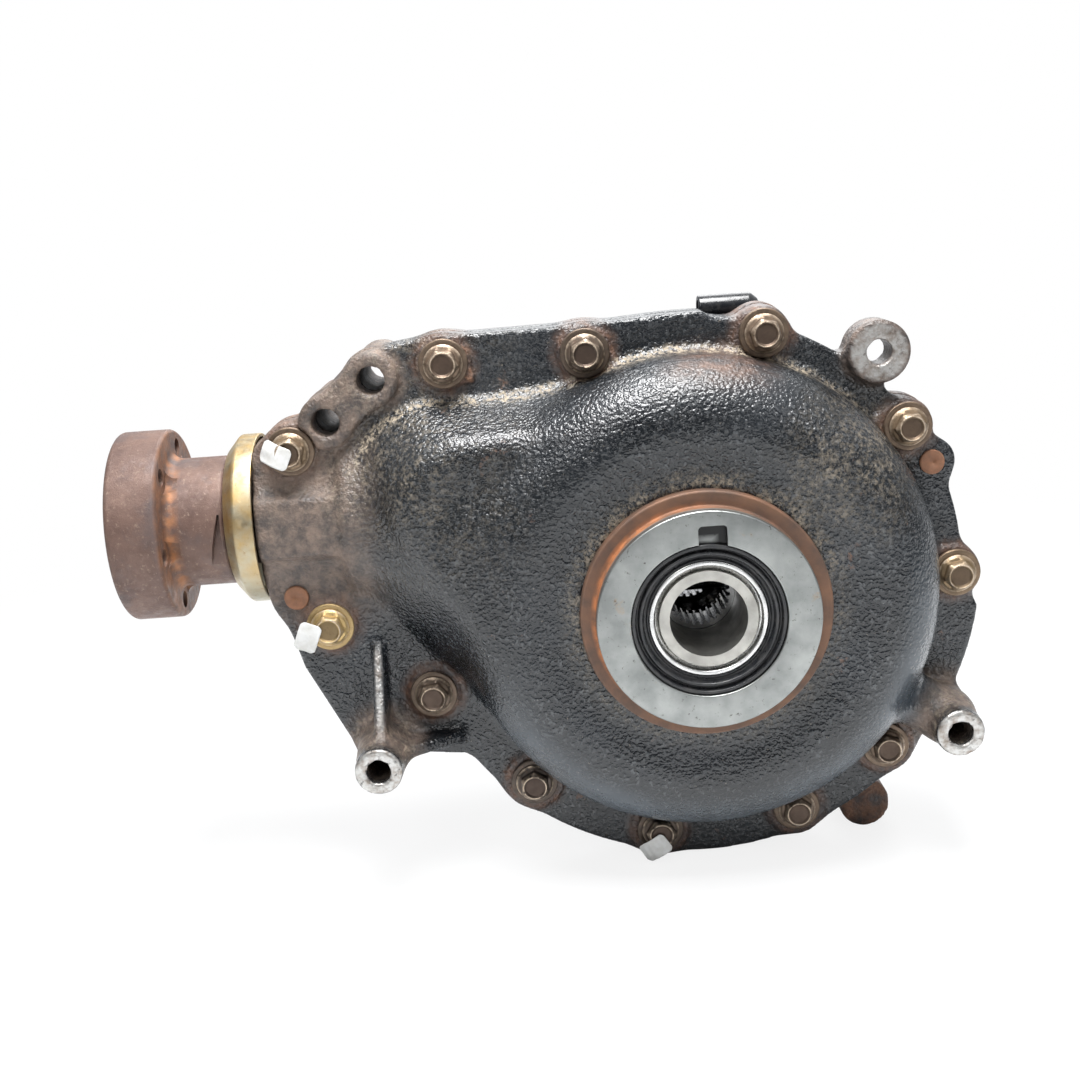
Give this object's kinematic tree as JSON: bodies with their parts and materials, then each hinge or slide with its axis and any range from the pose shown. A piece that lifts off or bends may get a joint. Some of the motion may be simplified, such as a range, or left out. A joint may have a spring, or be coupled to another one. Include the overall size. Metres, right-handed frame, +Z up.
{
  "type": "front differential",
  "caption": "Vehicle front differential: a bolted two-piece cast casing with a hypoid ring and pinion, bevel side gears, tapered roller bearings and a round input flange.",
  "frame": {"origin": "centre of the machined pilot face of the front cover, on the axis of the axle", "axes": "+Y runs along the axle's axis into the unit, -X points along the pinion shaft towards its flange, +Z is up"},
  "size_m": [0.4183, 0.176, 0.2794],
  "materials": {
    "painted_casting": "black paint over a sand casting, dusty, with small patches of rust",
    "raw_casting": "cast grey with turned seats",
    "rusted_forging": "even brown rust on turned faces",
    "zinc_plate": "yellow zinc plate, dulled",
    "bolt_steel": "dark bronze-brown plate, worn",
    "machined_steel": "ground",
    "pressed_steel": "pressed sheet",
    "gear_steel": "hardened and ground, oiled",
    "bronze": "plain bronze",
    "seal_washer": "soft sealing ring",
    "seal_rubber": "moulded over a steel case",
    "black_plastic": "moulded"
  },
  "bodies": {
    "casing": {"cover": "painted_casting", "housing": "painted_casting", "fill_plug": "bolt_steel", "drain_plug": "bolt_steel", "plug_washers": "seal_washer", "cover_bolts": "bolt_steel", "cover_bolt_washers": "bolt_steel", "dowel_pins": "machined_steel", "breather_elbow": "black_plastic", "front_bearing_outer_race": "machined_steel", "rear_bearing_outer_race": "machined_steel", "head_bearing_outer_race": "machined_steel", "tail_bearing_outer_race": "machined_steel", "front_shim": "machined_steel", "rear_shim": "machined_steel", "pinion_shim": "machined_steel", "front_output_seal": "seal_rubber", "front_output_seal_spring": "machined_steel", "rear_output_seal": "seal_rubber", "rear_output_seal_spring": "machined_steel", "pinion_seal": "seal_rubber", "pinion_seal_spring": "machined_steel"},
    "case": {"ring_gear": "gear_steel", "differential_case": "raw_casting", "ring_gear_bolts": "bolt_steel", "spider_shaft": "gear_steel", "spider_lock_pin": "machined_steel", "side_gear_washers": "bronze", "planet_washers": "bronze", "front_wear_sleeve": "machined_steel", "rear_wear_sleeve": "machined_steel", "front_bearing_inner_race": "machined_steel", "rear_bearing_inner_race": "machined_steel"},
    "pinion": {"pinion_shaft": "gear_steel", "pinion_flange": "rusted_forging", "pinion_nut": "bolt_steel", "pinion_nut_washer": "bolt_steel", "dust_deflector": "zinc_plate", "crush_sleeve": "machined_steel", "head_bearing_inner_race": "machined_steel", "tail_bearing_inner_race": "machined_steel"},
    "front_cage": {"front_bearing_rollers": "machined_steel", "front_bearing_cage": "pressed_steel"},
    "rear_cage": {"rear_bearing_rollers": "machined_steel", "rear_bearing_cage": "pressed_steel"},
    "head_cage": {"head_bearing_rollers": "machined_steel", "head_bearing_cage": "pressed_steel"},
    "tail_cage": {"tail_bearing_rollers": "machined_steel", "tail_bearing_cage": "pressed_steel"},
    "side_front": {"side_gear_front": "gear_steel"},
    "side_rear": {"side_gear_rear": "gear_steel"},
    "planet_right": {"planet_gear_right": "gear_steel"},
    "planet_left": {"planet_gear_left": "gear_steel"}
  },
  "joints": [
    {"name": "ring_spin", "type": "hinge", "parent": "casing", "child": "case", "pos_m": [0, 0.08, 0], "axis": [0, 1, 0], "continuous": true},
    {"name": "pinion_spin", "type": "hinge", "parent": "casing", "child": "pinion", "pos_m": [-0.1, 0.086, 0.044], "axis": [1, 0, 0], "continuous": true},
    {"name": "front_cage_spin", "type": "hinge", "parent": "casing", "child": "front_cage", "pos_m": [0, 0.024, 0], "axis": [0, 1, 0], "continuous": true},
    {"name": "rear_cage_spin", "type": "hinge", "parent": "casing", "child": "rear_cage", "pos_m": [0, 0.148, 0], "axis": [0, 1, 0], "continuous": true},
    {"name": "head_cage_spin", "type": "hinge", "parent": "casing", "child": "head_cage", "pos_m": [-0.106, 0.086, 0.044], "axis": [1, 0, 0], "continuous": true},
    {"name": "tail_cage_spin", "type": "hinge", "parent": "casing", "child": "tail_cage", "pos_m": [-0.178, 0.086, 0.044], "axis": [1, 0, 0], "continuous": true},
    {"name": "side_front_spin", "type": "hinge", "parent": "case", "child": "side_front", "pos_m": [0, 0.08, 0], "axis": [0, 1, 0], "continuous": true},
    {"name": "side_rear_spin", "type": "hinge", "parent": "case", "child": "side_rear", "pos_m": [0, 0.08, 0], "axis": [0, 1, 0], "continuous": true},
    {"name": "planet_right_spin", "type": "hinge", "parent": "case", "child": "planet_right", "pos_m": [0, 0.08, 0], "axis": [1, 0, 0], "continuous": true},
    {"name": "planet_left_spin", "type": "hinge", "parent": "case", "child": "planet_left", "pos_m": [0, 0.08, 0], "axis": [1, 0, 0], "continuous": true}
  ],
  "couplings": [
    {"joint": "pinion_spin", "follows": "ring_spin", "ratio": -3.7273},
    {"joint": "front_cage_spin", "follows": "ring_spin", "ratio": 0.44743},
    {"joint": "rear_cage_spin", "follows": "ring_spin", "ratio": 0.44743},
    {"joint": "head_cage_spin", "follows": "ring_spin", "ratio": -1.5926},
    {"joint": "tail_cage_spin", "follows": "ring_spin", "ratio": -1.591},
    {"joint": "side_rear_spin", "follows": "side_front_spin", "ratio": -1},
    {"joint": "planet_right_spin", "follows": "side_front_spin", "ratio": 1.6},
    {"joint": "planet_left_spin", "follows": "side_front_spin", "ratio": -1.6}
  ]
}
